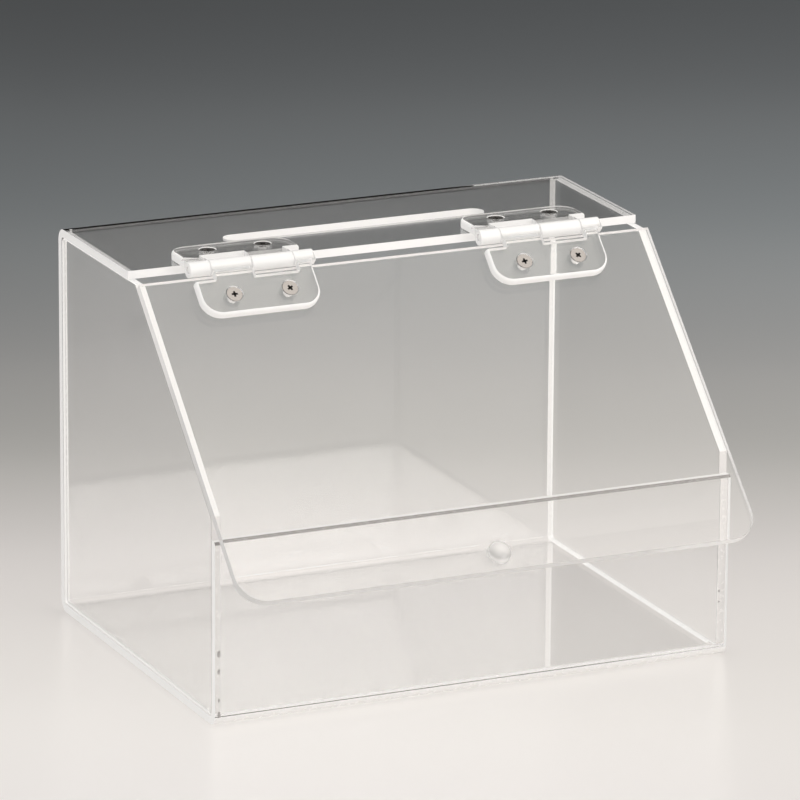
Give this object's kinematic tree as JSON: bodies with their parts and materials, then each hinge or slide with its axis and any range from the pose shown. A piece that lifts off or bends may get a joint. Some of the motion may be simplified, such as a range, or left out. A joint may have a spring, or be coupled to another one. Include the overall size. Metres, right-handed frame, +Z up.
{
  "type": "tip box",
  "caption": "Clear acrylic tip box: a bent sheet body with flat sides, a slot in its top, and a sloping lid with a small knob on clear hinges.",
  "frame": {"origin": "centre of the body's flat base, at the level of the surface that it stands on", "axes": "+Z up, -Y out of the low front panel, +X to the right as seen from the front"},
  "size_m": [0.2096, 0.1787, 0.1559],
  "materials": {
    "clear_acrylic": "clear, polished",
    "hinge_plastic": "clear, polished",
    "pin_plastic": "whitish, satin",
    "screw_steel": "plain steel"
  },
  "bodies": {
    "box": {"wrap_shell": "clear_acrylic", "side_panel_left": "clear_acrylic", "side_panel_right": "clear_acrylic", "hinge_left_top_leaf": "hinge_plastic", "hinge_left_pin": "pin_plastic", "hinge_left_top_screw_1": "screw_steel", "hinge_left_top_screw_2": "screw_steel", "hinge_right_top_leaf": "hinge_plastic", "hinge_right_pin": "pin_plastic", "hinge_right_top_screw_1": "screw_steel", "hinge_right_top_screw_2": "screw_steel"},
    "lid": {"lid": "clear_acrylic", "lid_knob": "clear_acrylic", "hinge_left_lid_leaf": "hinge_plastic", "hinge_left_lid_screw_1": "screw_steel", "hinge_left_lid_screw_2": "screw_steel", "hinge_right_lid_leaf": "hinge_plastic", "hinge_right_lid_screw_1": "screw_steel", "hinge_right_lid_screw_2": "screw_steel"}
  },
  "joints": [
    {"name": "lid_hinge", "type": "hinge", "parent": "box", "child": "lid", "pos_m": [0, -0.00221, 0.1527], "axis": [-1, 0, 0], "range_deg": [0, 165]}
  ]
}
